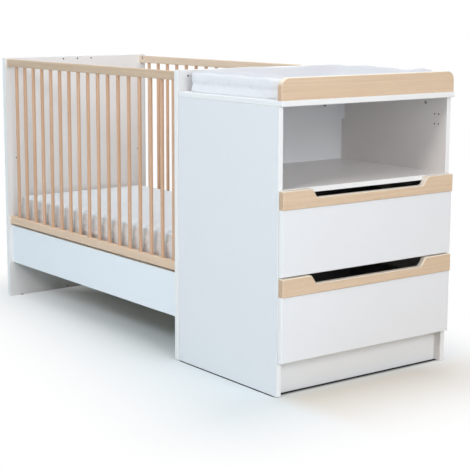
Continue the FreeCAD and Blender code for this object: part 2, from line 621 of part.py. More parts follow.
def drawer(name, front_bottom):
    """One drawer: front, grip strip and a grooved box, with the two battens that it slides on."""
    strip_bottom = front_bottom + FRONT_HEIGHT - STRIP_HEIGHT
    front = block(FRONT_BACK_FACE, FRONT_FACE, FRONT_NEAR, FRONT_FAR, front_bottom, strip_bottom)
    front = front.makeChamfer(FRONT_EASING, edges_at_x(front, FRONT_FACE))
    z0 = front_bottom + BOX_RAISE
    z1 = z0 + BOX_HEIGHT
    floor_z = (z0 + BOX_FLOOR_RAISE, z0 + BOX_FLOOR_RAISE + BOX_FLOOR_THICKNESS)
    inner_y = (BOX_NEAR + BOX_WALL, BOX_FAR - BOX_WALL)
    inner_x = (BOX_BACK + BOX_WALL, FRONT_BACK_FACE - BOX_WALL)
    reach = BOX_FLOOR_GROOVE
    groove = block(inner_x[0] - reach, inner_x[1] + reach, inner_y[0] - reach, inner_y[1] + reach,
                   floor_z[0] - GROOVE_CLEARANCE, floor_z[1] + GROOVE_CLEARANCE)
    seat = reach - GROOVE_CLEARANCE
    floor = block(inner_x[0] - seat, inner_x[1] + seat, inner_y[0] - seat, inner_y[1] + seat, *floor_z)
    runner_z = (z0 + RUNNER_RAISE, z0 + RUNNER_RAISE + RUNNER_HEIGHT)
    groove_front = FRONT_BACK_FACE - RUNNER_FRONT_STOP
    runner_x = (BOX_BACK + RUNNER_BACK_INSET, groove_front - RUNNER_CLEARANCE)
    runners = []
    box_sides = []
    walls = ((BAY_NEAR, BOX_NEAR, inner_y[0], 1), (BAY_FAR, BOX_FAR, inner_y[1], -1))
    for bay, outer, inner, inward in walls:
        side = block(BOX_BACK, FRONT_BACK_FACE, *sorted((outer, inner)), z0, z1)
        slot_y = sorted((outer, outer + inward * RUNNER_GROOVE_DEPTH))
        slot = block(BOX_BACK, groove_front, *slot_y,
                     runner_z[0] - RUNNER_CLEARANCE, runner_z[1] + RUNNER_CLEARANCE)
        box_sides.append(side.cut([slot, groove]))
        tongue = sorted((bay, outer + inward * (RUNNER_GROOVE_DEPTH - RUNNER_CLEARANCE)))
        runners.append(block(*runner_x, *tongue, *runner_z))
    return {f"{name}_drawer_front": front,
            f"{name}_grip_strip": grip_strip(strip_bottom),
            f"{name}_box_left_side": box_sides[0],
            f"{name}_box_right_side": box_sides[1],
            f"{name}_box_front": block(inner_x[1], FRONT_BACK_FACE, *inner_y, z0, z1).cut(groove),
            f"{name}_box_back": block(BOX_BACK, inner_x[0], *inner_y, z0, z1).cut(groove),
            f"{name}_box_floor": floor,
            f"{name}_runners": Part.makeCompound(runners)}


def build():
    """Every piece by name."""
    pin_bores, cam_bores = frame_fittings(FITTING_CLEARANCE)
    frame_bores = pin_bores + cam_bores
    pieces = end_panels(pin_bores + cleat_bolts(FITTING_CLEARANCE))
    for name, outer, inward in SIDES:
        pieces.update(slatted_side(name, outer, inward, frame_bores))
    frame_pins, frame_cams = frame_fittings(0.0)
    pieces["frame_pins"] = Part.makeCompound(frame_pins)
    pieces["frame_cams"] = Part.makeCompound(frame_cams)
    pieces["cleat_bolts"] = Part.makeCompound(cleat_bolts(0.0))
    pieces.update(base_cleats())
    pieces.update(mattress_base())
    pieces["mattress"] = mattress()
    pieces.update(chest_carcass())
    top_pins, top_cams = top_fittings(0.0)
    pieces["top_pins"] = Part.makeCompound(top_pins)
    pieces["top_cams"] = Part.makeCompound(top_cams)
    pieces["link_bolts"] = Part.makeCompound(link_bolts(0.0))
    pieces["top_lip"] = top_lip()
    pieces.update(glides())
    for i, name in enumerate(DRAWER_NAMES):
        pieces.update(drawer(name, FRONT_BOTTOM + i * FRONT_PITCH))
    pieces["changing_mat"] = changing_mat()
    return pieces


for node, shape in build().items():
    placed = shape.translated(Vector(-X_MIDDLE, -Y_MIDDLE, 0))
    placed.exportStep(f"parts/{node}.step")
    print(node, len(placed.Solids), "solids", round(placed.Volume / 1000, 1), "cm3", placed.isValid())
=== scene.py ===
# %% [markdown]
# # A cot joined to a chest of drawers
#
# The solids of the cot come in as a fixed frame, in metres: white boards, beech rails and slats, two
# drawers, a slatted base. They keep their places. This lesson gives every board and every stick of wood its
# finish, makes the two soft pieces that solids can only hint at, the mattress in its sheet and the changing
# mat, and puts the whole in plain studio light.

import json
import math

import bpy
import numpy as np
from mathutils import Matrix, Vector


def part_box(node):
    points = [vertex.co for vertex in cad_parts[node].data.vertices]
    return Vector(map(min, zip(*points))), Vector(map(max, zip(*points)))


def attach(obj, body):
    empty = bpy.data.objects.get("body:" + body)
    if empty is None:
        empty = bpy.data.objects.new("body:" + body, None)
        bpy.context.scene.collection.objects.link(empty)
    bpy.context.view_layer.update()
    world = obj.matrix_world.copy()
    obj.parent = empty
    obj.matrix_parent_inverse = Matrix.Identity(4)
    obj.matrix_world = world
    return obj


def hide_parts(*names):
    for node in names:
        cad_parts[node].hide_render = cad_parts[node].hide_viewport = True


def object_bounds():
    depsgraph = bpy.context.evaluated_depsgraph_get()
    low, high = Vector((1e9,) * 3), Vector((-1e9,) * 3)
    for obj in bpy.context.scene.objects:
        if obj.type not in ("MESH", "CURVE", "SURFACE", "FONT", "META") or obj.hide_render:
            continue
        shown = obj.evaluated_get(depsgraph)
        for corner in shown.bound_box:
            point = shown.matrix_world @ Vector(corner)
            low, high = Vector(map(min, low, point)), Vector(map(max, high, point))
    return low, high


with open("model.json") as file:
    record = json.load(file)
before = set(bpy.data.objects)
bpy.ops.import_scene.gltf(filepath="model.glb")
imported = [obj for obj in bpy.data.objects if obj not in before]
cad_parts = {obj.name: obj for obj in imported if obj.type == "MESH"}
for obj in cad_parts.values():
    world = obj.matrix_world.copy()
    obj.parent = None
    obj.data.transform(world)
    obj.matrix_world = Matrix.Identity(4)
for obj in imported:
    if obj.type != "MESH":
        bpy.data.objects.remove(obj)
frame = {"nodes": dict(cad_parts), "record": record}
cad_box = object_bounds()
nodes = frame["nodes"]
slot_of = {row["node"]: row["material_slot"] for row in frame["record"]["subparts"]}
print(len(nodes), "solids in the frame, box", [[round(v, 3) for v in corner] for corner in cad_box])

# %% [markdown]
# ## The camera
#
# The photograph was taken with a long lens from the corner of the chest, a little above the changing top. A
# camera could be set by eye, but the straight edges of the boards fix it: a focal length, a place, a turn
# and a tilt that put about a hundred edges and corners back on their pixels. The picture is a cropped one,
# so its optical middle is not its own middle, and the lens shift takes that up.

# %% The camera
PICTURE_SIZE = 470
FOCAL_PIXELS = 1297.6
OPTICAL_MIDDLE = (208.35, 210.53)
CAMERA_PLACE = (3.9491, -2.8521, 1.2188)
CAMERA_TURN = 54.03
CAMERA_TILT = 8.99
SENSOR_WIDTH = 36.0

lens = bpy.data.cameras.new("photo_camera")
lens.sensor_width = SENSOR_WIDTH
lens.lens = SENSOR_WIDTH * FOCAL_PIXELS / PICTURE_SIZE
lens.shift_x = 0.5 - OPTICAL_MIDDLE[0] / PICTURE_SIZE
lens.shift_y = OPTICAL_MIDDLE[1] / PICTURE_SIZE - 0.5
camera = bpy.data.objects.new("photo_camera", lens)
camera.location = CAMERA_PLACE
camera.rotation_euler = (math.radians(90 - CAMERA_TILT), 0, math.radians(CAMERA_TURN))
bpy.context.collection.objects.link(camera)
scene = bpy.context.scene
scene.camera = camera
scene.view_settings.view_transform = "Standard"
print("lens", round(lens.lens, 1), "mm, shift", round(lens.shift_x, 4), round(lens.shift_y, 4))

# %% [markdown]
# ## Short helpers for node trees
#
# Every finish below is a tree of shader nodes. Wiring them one line per link is long and hard to read, so
# one helper adds a node with its settings and its inputs in one call, and another does arithmetic on
# sockets. An input that is given a socket gets a link, and one that is given a number or a colour keeps it
# as its own value.

# %% Helpers for node trees
def add(tree, kind, inputs=(), **settings):
    """Adds one shader node.

    Settings are its own properties, and inputs are pairs of a socket and a value or a source socket.
    """
    node = tree.nodes.new("ShaderNode" + kind)
    for name, value in settings.items():
        setattr(node, name, value)
    for key, value in inputs:
        if isinstance(value, bpy.types.NodeSocket):
            tree.links.new(value, node.inputs[key])
        else:
            node.inputs[key].default_value = value
    return node


def calc(tree, operation, *values):
    """The result of one Math node on sockets or numbers."""
    return add(tree, "Math", list(enumerate(values)), operation=operation).outputs[0]


def vector_calc(tree, operation, *values):
    """The result of one Vector Math node on sockets or triples."""
    return add(tree, "VectorMath", list(enumerate(values)), operation=operation).outputs[0]


def blend_colour(tree, share, first, second, mode="MIX"):
    """The second colour over the first by a share from 0 to 1."""
    node = add(tree, "Mix", [(0, share), (6, first), (7, second)], data_type="RGBA", blend_type=mode)
    return node.outputs[2]


def step_up(tree, value, low, high):
    """A soft step: 0 below low, 1 above high and an S curve between them."""
    pairs = [("Value", value), ("From Min", low), ("From Max", high)]
    return add(tree, "MapRange", pairs, interpolation_type="SMOOTHSTEP").outputs[0]


def noise(tree, vector, scale=1.0, detail=2.0):
    """The grey value of a Noise Texture on a vector."""
    pairs = [("Vector", vector), ("Scale", scale), ("Detail", detail)]
    return add(tree, "TexNoise", pairs).outputs["Fac"]


def new_group(name, inputs, outputs):
    """An empty shader node group with named sockets, and its two end nodes."""
    kinds = {"value": "NodeSocketFloat", "vector": "NodeSocketVector", "colour": "NodeSocketColor"}
    group = bpy.data.node_groups.new(name, "ShaderNodeTree")
    for side, sockets in (("INPUT", inputs), ("OUTPUT", outputs)):
        for label, kind in sockets:
            group.interface.new_socket(label, in_out=side, socket_type=kinds[kind])
    return group, group.nodes.new("NodeGroupInput"), group.nodes.new("NodeGroupOutput")


def use_group(tree, group, inputs):
    """Places a group in a material's tree with its own values."""
    return add(tree, "Group", inputs, node_tree=group)


def new_material(name):
    """A material with an empty Principled shader: its tree, its shader and the Object coordinates."""
    material = bpy.data.materials.new(name)
    material.use_nodes = True
    tree = material.node_tree
    place = add(tree, "TexCoord").outputs["Object"]
    return material, tree, tree.nodes["Principled BSDF"], place


def raise_surface(tree, shader, height, depth):
    """A Bump node from a height of 0 to 1 over that depth in metres, on the shader's Normal."""
    bump = add(tree, "Bump", [("Height", height), ("Distance", depth), ("Strength", 1.0)])
    tree.links.new(bump.outputs[0], shader.inputs["Normal"])


def facing(tree):
    """The three parts of the direction that a surface faces, along the piece's own axes."""
    return add(tree, "SeparateXYZ", [(0, add(tree, "TexCoord").outputs["Normal"])]).outputs


def put_on(piece, material):
    """Gives a piece one material for all its faces."""
    piece.data.materials.clear()
    piece.data.materials.append(material)


def nodes_in(slot):
    """The solids of one material slot that are in the frame."""
    return [name for name, its_slot in slot_of.items() if its_slot == slot]


print("helpers ready for", len(set(slot_of.values())), "material slots")

# %% [markdown]
# ## The white boards
#
# The panels, the chest and the drawer fronts are chipboard with a white melamine face. Up close such a face
# is not a flat colour: it has a fine pearl texture, a faint unevenness of gloss where it was wiped, and
# round its rim runs a plastic edge band about a millimetre thick that is a little whiter than the face,
# partly the plastic's own white and partly a painted highlight for the light that the eased rims catch,
# with a thin glue line beside it. Several boards are given their own white, which is painted light and
# shade: lighter, darker, warmer or cooler as the light falls on each. In the drilled holes and in the
# grooves the brown chips show. The bands could be modelled, but they are thinner than any gap. So a node
# group works out how far a point lies from the board's rim and below its skin, from the board's own middle
# and half size, and puts out the band, the line and the bare core as masks.

# %% Node groups for board faces and edge bands
FULL_WHITE = (1.0, 1.0, 1.0, 1.0)


def board_face_group():
    """Pearl texture, wiped gloss and a faint cloudiness, from the place on the board."""
    group, start, end = new_group("board_face", [("Place", "vector"), ("Colour", "colour")],
                                  [("Colour", "colour"), ("Roughness", "value"), ("Height", "value")])
    place = start.outputs["Place"]
    cloud = noise(group, place, scale=3.1, detail=2.0)
    wiped = noise(group, vector_calc(group, "MULTIPLY", place, (5.0, 9.0, 31.0)), detail=3.0)
    pearl = noise(group, place, scale=760.0, detail=1.0)
    paler = blend_colour(group, 0.055, start.outputs["Colour"], FULL_WHITE, "SCREEN")
    colour = blend_colour(group, cloud, start.outputs["Colour"], paler)
    gloss = calc(group, "MULTIPLY_ADD", wiped, 0.16, 0.30)
    group.links.new(colour, end.inputs["Colour"])
    group.links.new(gloss, end.inputs["Roughness"])
    group.links.new(pearl, end.inputs["Height"])
    return group


def smallest_part(tree, vector):
    """The smallest of a vector's three parts."""
    parts = add(tree, "SeparateXYZ", [(0, vector)]).outputs
    return calc(tree, "MINIMUM", calc(tree, "MINIMUM", parts[0], parts[1]), parts[2])


def edge_band_group(thickness=0.0011, line=0.00022, skin=0.0014):
    """Masks of a board's edge band, of its glue line and of its core.

    The depth below the skin is the smallest of half size minus distance from the middle. The distance to
    the rim is the same over the two directions that lie in the board; the third is lifted out of the way
    by the vector Across.
    """
    sockets = [("Place", "vector"), ("Middle", "vector"), ("Half", "vector"), ("Across", "vector")]
    masks = [("Band", "value"), ("Line", "value"), ("Core", "value")]
    group, start, end = new_group("edge_band", sockets, masks)
    off_middle = vector_calc(group, "SUBTRACT", start.outputs["Place"], start.outputs["Middle"])
    away = vector_calc(group, "ABSOLUTE", off_middle)
    inside = vector_calc(group, "SUBTRACT", start.outputs["Half"], away)
    rim = smallest_part(group, vector_calc(group, "ADD", inside, start.outputs["Across"]))
    band = calc(group, "SUBTRACT", 1.0, step_up(group, rim, thickness - line, thickness + line))
    off_line = calc(group, "ABSOLUTE", calc(group, "SUBTRACT", rim, thickness))
    group.links.new(band, end.inputs["Band"])
    group.links.new(calc(group, "SUBTRACT", 1.0, step_up(group, off_line, 0.0, line)), end.inputs["Line"])
    group.links.new(step_up(group, smallest_part(group, inside), skin, skin + line), end.inputs["Core"])
    return group


board_face = board_face_group()
edge_band = edge_band_group()
print("groups:", board_face.name, edge_band.name)

# %% The white board material
FACE_WHITE = (0.815, 0.832, 0.855, 1.0)
# Painted light and shade: these boards get their own white, lighter, darker, warmer or cooler, as the light
# falls on each.
PAINTED_LIGHT_WHITES = {
    "head_panel": (0.880, 0.862, 0.845, 1.0),
    "foot_panel": (0.760, 0.750, 0.745, 1.0),
    "front_apron": (0.880, 0.925, 0.970, 1.0),
    "chest_right_side": (0.775, 0.738, 0.712, 1.0),
    "chest_plinth": (0.880, 0.887, 0.895, 1.0),
    "open_shelf": (0.765, 0.735, 0.712, 1.0),
    "upper_drawer_front": (0.835, 0.852, 0.882, 1.0),
    "lower_drawer_front": (0.845, 0.860, 0.890, 1.0),
}
# The edge band's white: partly the plastic's own, partly a painted highlight for the light on the eased
# rims.
BAND_WHITE_AND_HIGHLIGHT = (0.890, 0.898, 0.900, 1.0)
GLUE_GREY = (0.50, 0.50, 0.48, 1.0)
CHIP_PALE = (0.20, 0.14, 0.09, 1.0)
CHIP_DARK = (0.07, 0.045, 0.03, 1.0)


def white_board(node_name):
    """The melamine finish with edge bands where this board ends."""
    low, high = (np.array(corner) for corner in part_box(node_name))
    half = (high - low) / 2
    across = np.zeros(3)
    across[np.argmin(half)] = 1.0
    material, tree, shader, place = new_material("white_board_" + node_name)
    # The board's painted light and shade, or the plain face white.
    colour = PAINTED_LIGHT_WHITES.get(node_name, FACE_WHITE)
    face = use_group(tree, board_face, [("Place", place), ("Colour", colour)])
    rim = use_group(tree, edge_band, [("Place", place), ("Middle", tuple((low + high) / 2)),
                                      ("Half", tuple(half)), ("Across", tuple(across))])
    # The band's colour carries the painted highlight of the rims.
    banded = blend_colour(tree, rim.outputs["Band"], face.outputs["Colour"], BAND_WHITE_AND_HIGHLIGHT)
    lined = blend_colour(tree, rim.outputs["Line"], banded, GLUE_GREY)
    chips = blend_colour(tree, noise(tree, place, scale=900.0, detail=2.0), CHIP_DARK, CHIP_PALE)
    tree.links.new(blend_colour(tree, rim.outputs["Core"], lined, chips), shader.inputs["Base Color"])
    tree.links.new(face.outputs["Roughness"], shader.inputs["Roughness"])
    raise_surface(tree, shader, face.outputs["Height"], depth=0.00004)
    return material


for board in nodes_in("white_board"):
    put_on(nodes[board], white_board(board))
print(len(nodes_in("white_board")), "white boards")

# %% [markdown]
# ## Beech and pine
#
# Beech is pale and even. What makes it wood is the direction: slow bands of colour along the stick, very
# fine fibre lines, and short dark flecks a few millimetres long. A picture of wood would do, but a
# procedure has no edges and gives every slat its own grain. Three noises are stretched along the grain,
# each finer than the one before, and a number per stick shifts the pattern and tints it, so that seventeen
# slats in a row are not seventeen copies.

# %% Node group for wood
# The pale of the painted highlight on faces and edges that look up.
HIGHLIGHT_PALE = (0.90, 0.85, 0.76, 1.0)


def wood_group():
    """Wood along the vector's X: slow bands, fibres and flecks.

    A number for each stick moves the pattern and tints it. End is how far the face looks along the grain:
    cut ends drink more lacquer and are darker. Up is how far it looks up: faces and eased edges that look up
    are painted paler, a painted highlight, by the share given for it.
    """
    sockets = [("Along", "vector"), ("Stick", "value"), ("End", "value"), ("Up", "value"),
               ("Highlight", "value"), ("Pale", "colour"), ("Dark", "colour"), ("Fleck", "colour")]
    group, start, end = new_group("wood", sockets,
                                  [("Colour", "colour"), ("Roughness", "value"), ("Height", "value")])
    number = add(group, "TexWhiteNoise", [("W", start.outputs["Stick"])], noise_dimensions="1D")
    shift = vector_calc(group, "MULTIPLY", number.outputs["Color"], (3.0, 1.0, 1.0))
    along = vector_calc(group, "ADD", start.outputs["Along"], shift)
    bend = noise(group, vector_calc(group, "MULTIPLY", along, (3.0, 11.0, 11.0)), detail=1.0)
    swayed = vector_calc(group, "ADD", along, add(group, "CombineXYZ", [
        (1, calc(group, "MULTIPLY", bend, 0.012)), (2, calc(group, "MULTIPLY", bend, 0.009))]).outputs[0])
    bands = noise(group, vector_calc(group, "MULTIPLY", swayed, (1.6, 120.0, 120.0)), detail=3.0)
    fibres = noise(group, vector_calc(group, "MULTIPLY", swayed, (14.0, 900.0, 900.0)), detail=2.0)
    specks = noise(group, vector_calc(group, "MULTIPLY", along, (210.0, 1700.0, 1700.0)), detail=1.0)
    depth = calc(group, "ADD", calc(group, "MULTIPLY", step_up(group, bands, 0.34, 0.68), 0.62),
                 calc(group, "MULTIPLY", step_up(group, fibres, 0.3, 0.7), 0.30))
    colour = blend_colour(group, depth, start.outputs["Pale"], start.outputs["Dark"])
    flecks = step_up(group, specks, 0.60, 0.72)
    colour = blend_colour(group, calc(group, "MULTIPLY", flecks, 0.45), colour, start.outputs["Fleck"])
    own = calc(group, "MULTIPLY", number.outputs["Value"], 0.16)
    colour = blend_colour(group, own, colour, start.outputs["Dark"])
    across = step_up(group, calc(group, "ABSOLUTE", start.outputs["End"]), 0.7, 0.95)
    colour = blend_colour(group, calc(group, "MULTIPLY", across, 0.40), colour, start.outputs["Fleck"])
    # Painted highlight: what looks up is painted paler by the given share.
    wear_and_highlight = calc(group, "MULTIPLY", step_up(group, start.outputs["Up"], 0.1, 0.6), start.outputs["Highlight"])
    colour = blend_colour(group, wear_and_highlight, colour, HIGHLIGHT_PALE)
    height = calc(group, "SUBTRACT", fibres, calc(group, "MULTIPLY", flecks, 0.5))
    group.links.new(colour, end.inputs["Colour"])
    group.links.new(calc(group, "MULTIPLY_ADD", fibres, 0.2, 0.34), end.inputs["Roughness"])
    group.links.new(height, end.inputs["Height"])
    return group


wood = wood_group()
print("group:", wood.name)

# %% Beech on rails, slats, lip and grip strips
GRAIN_TURNS = {"X": (0.0, 0.0, 0.0), "Y": (0.0, 0.0, -math.pi / 2), "Z": (0.0, math.pi / 2, 0.0)}
SLAT_PITCH = 0.071
BEECH_FLECK = (0.43, 0.25, 0.14, 1.0)
# Painted light and shade: each rail's beech is set lighter or darker as the light falls on it; the top front
# rail is the darkest.
RAIL_BEECH_PAINTED_LIGHT = {
    "front_top_rail": ((0.690, 0.527, 0.378, 1.0), (0.58, 0.420, 0.285, 1.0)),
    "front_bottom_rail": ((0.840, 0.640, 0.475, 1.0), (0.725, 0.520, 0.36, 1.0)),
    "rear_top_rail": ((0.800, 0.640, 0.490, 1.0), (0.69, 0.530, 0.385, 1.0)),
    "rear_bottom_rail": ((0.770, 0.590, 0.430, 1.0), (0.65, 0.470, 0.320, 1.0)),
}
SLAT_BEECH = ((0.760, 0.488, 0.328, 1.0), (0.60, 0.352, 0.211, 1.0))
STRIP_BEECH = ((0.770, 0.598, 0.432, 1.0), (0.68, 0.500, 0.342, 1.0))
# Share of the painted highlight on the strips' faces and edges that look up.
STRIP_HIGHLIGHT = 0.7
FIRST_RAIL = 2.0
FIRST_STRIP = 11.0
FIRST_SLAT = 31.0
SIDE_NUMBERS = 40


def stick_number(tree, place, first, pitch):
    """Counts the sticks of a row: whole pitches from the first one, along X."""
    parts = add(tree, "SeparateXYZ", [(0, place)]).outputs
    return calc(tree, "FLOOR", calc(tree, "DIVIDE", calc(tree, "SUBTRACT", parts[0], first), pitch))


def wooden(name, grain, colours, fleck, stick=0.0, row=None, wear_and_highlight=0.0):
    """A wood finish with its grain along one axis.

    The sticks of a row are numbered along X, from the place where the row starts and by its pitch.
    """
    material, tree, shader, place = new_material(name)
    turned = add(tree, "Mapping", [("Vector", place), ("Rotation", GRAIN_TURNS[grain])]).outputs[0]
    looks = facing(tree)
    if row:
        stick = calc(tree, "ADD", stick_number(tree, place, *row), stick)
    grained = use_group(tree, wood, [("Along", turned), ("Stick", stick),
                                     ("End", looks["XYZ".index(grain)]), ("Up", looks[2]),
                                     ("Highlight", wear_and_highlight), ("Pale", colours[0]),
                                     ("Dark", colours[1]), ("Fleck", fleck)])
    tree.links.new(grained.outputs["Colour"], shader.inputs["Base Color"])
    tree.links.new(grained.outputs["Roughness"], shader.inputs["Roughness"])
    raise_surface(tree, shader, grained.outputs["Height"], depth=0.00012)
    return material


# Every rail gets its painted light and shade with its grain.
for number, (rail, colours) in enumerate(RAIL_BEECH_PAINTED_LIGHT.items()):
    put_on(nodes[rail], wooden("beech_" + rail, "X", colours, BEECH_FLECK, FIRST_RAIL + number))
for number, strip in enumerate(["top_lip", "upper_grip_strip", "lower_grip_strip"]):
    own = FIRST_STRIP + number
    put_on(nodes[strip], wooden("beech_" + strip, "Y", STRIP_BEECH, BEECH_FLECK, own, wear_and_highlight=STRIP_HIGHLIGHT))
for number, slats in enumerate(["front_slats", "rear_slats"]):
    row = (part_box(slats)[0][0] - SLAT_PITCH / 2, SLAT_PITCH)
    first = FIRST_SLAT + SIDE_NUMBERS * number
    put_on(nodes[slats], wooden("beech_" + slats, "Z", SLAT_BEECH, BEECH_FLECK, first, row))
print(len(nodes_in("beech")), "beech pieces")

# %% [markdown]
# The slatted base and its cleats are planed pine without lacquer: yellower than beech, with a stronger
# difference between early and late wood. The same group makes it with other colours.

# %% Pine on the base and the cleats
PINE = ((0.83, 0.69, 0.47, 1.0), (0.68, 0.47, 0.25, 1.0))
PINE_FLECK = (0.50, 0.30, 0.14, 1.0)
BASE_SLAT_PITCH = 0.105
FIRST_PINE = 51.0
PINE_GRAIN = {"base_front_rail": "X", "base_rear_rail": "X", "base_cross_rails": "Y", "base_slats": "Y",
              "head_cleat": "Y", "foot_cleat": "Y"}
for number, (stick, grain) in enumerate(PINE_GRAIN.items()):
    row = (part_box(stick)[0][0], BASE_SLAT_PITCH) if stick == "base_slats" else None
    put_on(nodes[stick], wooden("pine_" + stick, grain, PINE, PINE_FLECK, FIRST_PINE + number, row))
print(len(PINE_GRAIN), "pine pieces")

# %% [markdown]
# ## Boards out of sight, plastic and metal
#
# The chest's back and the drawer floors are lacquered hardboard, and the drawer boxes are foiled chipboard
# whose colour is near black: a painted shade that keeps the inside of the drawers dark where it shows
# through the grip notches. Both are duller than melamine and show a coarser texture. The battens under the
# drawers are waxy plastic, the glides black plastic with a moulded grain, and the fittings zinc with a
# brushed, slightly clouded plating.

# %% Hardboard, drawer foil, plastic and zinc
BACK_WHITE = (0.80, 0.81, 0.825, 1.0)
# Painted shade: the drawer boxes are near black so that the inside of the drawers is dark through the grip
# notches.
DRAWER_BOX_PAINTED_SHADE = (0.12, 0.112, 0.113, 1.0)
WAXY_WHITE = (0.76, 0.76, 0.74, 1.0)
WAXY_WORN = (0.86, 0.86, 0.85, 1.0)
GLIDE_BLACK = (0.045, 0.045, 0.048, 1.0)
GLIDE_WORN = (0.13, 0.13, 0.13, 1.0)
ZINC_DARK = (0.30, 0.30, 0.31, 1.0)
ZINC_PALE = (0.52, 0.52, 0.54, 1.0)


def dull_sheet(name, colour, texture_scale, rough):
    """Lacquered or foiled board: the board face with a coarser texture and less gloss."""
    material, tree, shader, place = new_material(name)
    face = use_group(tree, board_face, [("Place", place), ("Colour", colour)])
    coarse = noise(tree, place, scale=texture_scale, detail=3.0)
    tree.links.new(face.outputs["Colour"], shader.inputs["Base Color"])
    tree.links.new(calc(tree, "ADD", face.outputs["Roughness"], rough), shader.inputs["Roughness"])
    raise_surface(tree, shader, coarse, depth=0.00010)
    return material


def moulded_plastic(name, colour, worn, rough):
    """Plastic from a mould: a fine grain in the surface and a paler rub where it has been moved about."""
    material, tree, shader, place = new_material(name)
    grain = noise(tree, place, scale=1400.0, detail=2.0)
    rub = step_up(tree, noise(tree, place, scale=38.0, detail=3.0), 0.52, 0.72)
    wear_and_highlight = blend_colour(tree, calc(tree, "MULTIPLY", rub, 0.5), colour, worn)
    tree.links.new(wear_and_highlight, shader.inputs["Base Color"])
    tree.links.new(calc(tree, "MULTIPLY_ADD", grain, 0.18, rough), shader.inputs["Roughness"])
    raise_surface(tree, shader, grain, depth=0.00005)
    return material


def zinc_plate():
    """Zinc: clouded grey with fine turning lines round each head."""
    material, tree, shader, place = new_material("zinc_fittings")
    cloud = noise(tree, place, scale=210.0, detail=3.0)
    lines = noise(tree, vector_calc(tree, "MULTIPLY", place, (300.0, 300.0, 2600.0)), detail=1.0)
    tree.links.new(blend_colour(tree, cloud, ZINC_DARK, ZINC_PALE), shader.inputs["Base Color"])
    tree.links.new(calc(tree, "MULTIPLY_ADD", lines, 0.25, 0.30), shader.inputs["Roughness"])
    shader.inputs["Metallic"].default_value = 1.0
    raise_surface(tree, shader, lines, depth=0.00004)
    return material


finishes = {
    "back_hardboard": dull_sheet("back_hardboard", BACK_WHITE, texture_scale=330.0, rough=0.16),
    "drawer_box": dull_sheet("drawer_box", DRAWER_BOX_PAINTED_SHADE, texture_scale=520.0, rough=0.10),
    "runner_plastic": moulded_plastic("runner_plastic", WAXY_WHITE, WAXY_WORN, rough=0.30),
    "glide_plastic": moulded_plastic("glide_plastic", GLIDE_BLACK, GLIDE_WORN, rough=0.45),
    "zinc_fittings": zinc_plate(),
}
for slot, material in finishes.items():
    for name in nodes_in(slot):
        put_on(nodes[name], material)
print(len(finishes), "more finishes on", sum(len(nodes_in(slot)) for slot in finishes), "solids")

# %% [markdown]
# ## A surface in rows
#
# The mattress and the mat are both closed shells over a rectangle with round corners. Each is a grid of two
# parameters: one goes round the outline, the other goes from the middle of the underside out to the rim, up
# the wall and back to the middle of the top. Every row is the outline drawn in by some inset, at some
# height.

# %% Rows round a rounded rectangle
INNERMOST = 0.92
LEAST_CORNER = 0.004


def outline(half_x, half_y, corner, count):
    """Points evenly spaced round a rectangle with round corners, from the middle of its +X side.

    Four quarter circles about the corner centres are joined by straight runs, and the closed line is then
    sampled at even steps of its length.
    """
    turn = np.linspace(0, np.pi / 2, 13)
    angle = np.concatenate([turn + quarter * np.pi / 2 for quarter in range(4)])
    side_x = np.repeat([1, -1, -1, 1], turn.size) * (half_x - corner)
    side_y = np.repeat([1, 1, -1, -1], turn.size) * (half_y - corner)
    line = np.stack([side_x + corner * np.cos(angle), side_y + corner * np.sin(angle)], axis=1)
    line = np.vstack([[half_x, 0.0], line, [half_x, 0.0]])
    run = np.concatenate([[0.0], np.cumsum(np.linalg.norm(np.diff(line, axis=0), axis=1))])
    stops = np.linspace(0, run[-1], count, endpoint=False)
    return np.stack([np.interp(stops, run, line[:, 0]), np.interp(stops, run, line[:, 1])], axis=1)


def grid_faces(rows, columns):
    """Quads between neighbouring rows that close round, and a cap over the first and the last row."""
    row, column = np.meshgrid(np.arange(rows - 1), np.arange(columns), indexing="ij")
    after = (column + 1) % columns
    quads = np.stack([row * columns + column, row * columns + after,
                      (row + 1) * columns + after, (row + 1) * columns + column], axis=-1).reshape(-1, 4)
    first = list(range(columns - 1, -1, -1))
    last = list(range((rows - 1) * columns, rows * columns))
    return quads.tolist() + [first, last]


def shade_smooth(mesh):
    """Smooth shading on every face."""
    mesh.polygons.foreach_set("use_smooth", np.ones(len(mesh.polygons), dtype=bool))


def new_piece(name, points, faces):
    """A mesh object at the origin from points in the frame, smooth shaded."""
    mesh = bpy.data.meshes.new(name)
    mesh.from_pydata(points.reshape(-1, 3).tolist(), [], faces)
    mesh.validate()
    shade_smooth(mesh)
    piece = bpy.data.objects.new(name, mesh)
    bpy.context.collection.objects.link(piece)
    return piece


def soft_step(value, low, high):
    """0 below low, 1 above high and an S curve between them, for arrays."""
    share = np.clip((value - low) / (high - low), 0, 1)
    return share * share * (3 - 2 * share)


print("an outline of", len(outline(0.6, 0.3, 0.045, 240)), "points")

# %% [markdown]
# ## Filling a soft piece
#
# Foam in a cover pushes its skin out until the cloth is tight. That could be faked with a smooth bulge, but
# a cloth simulation with pressure finds where the skin is free to swell and where a rim holds it. The shell
# is remeshed to small even squares, blown up for twenty frames without gravity, and what comes out is
# limited to a few millimetres so that it keeps the solid's size. The underside is then pressed flat on what
# carries it, and the mattress stays between the bottom rails.

# %% Filling by a cloth simulation
FILL_FRAMES = 20


def coordinates(mesh):
    """The vertices of a mesh as an array."""
    points = np.empty(len(mesh.vertices) * 3)
    mesh.vertices.foreach_get("co", points)
    return points.reshape(-1, 3)


def normals(mesh):
    """The vertex normals of a mesh as an array."""
    directions = np.empty(len(mesh.vertices) * 3)
    mesh.vertex_normals.foreach_get("vector", directions)
    return directions.reshape(-1, 3)


def set_coordinates(mesh, points):
    """Puts moved vertices back into a mesh."""
    mesh.vertices.foreach_set("co", points.reshape(-1))
    mesh.update()


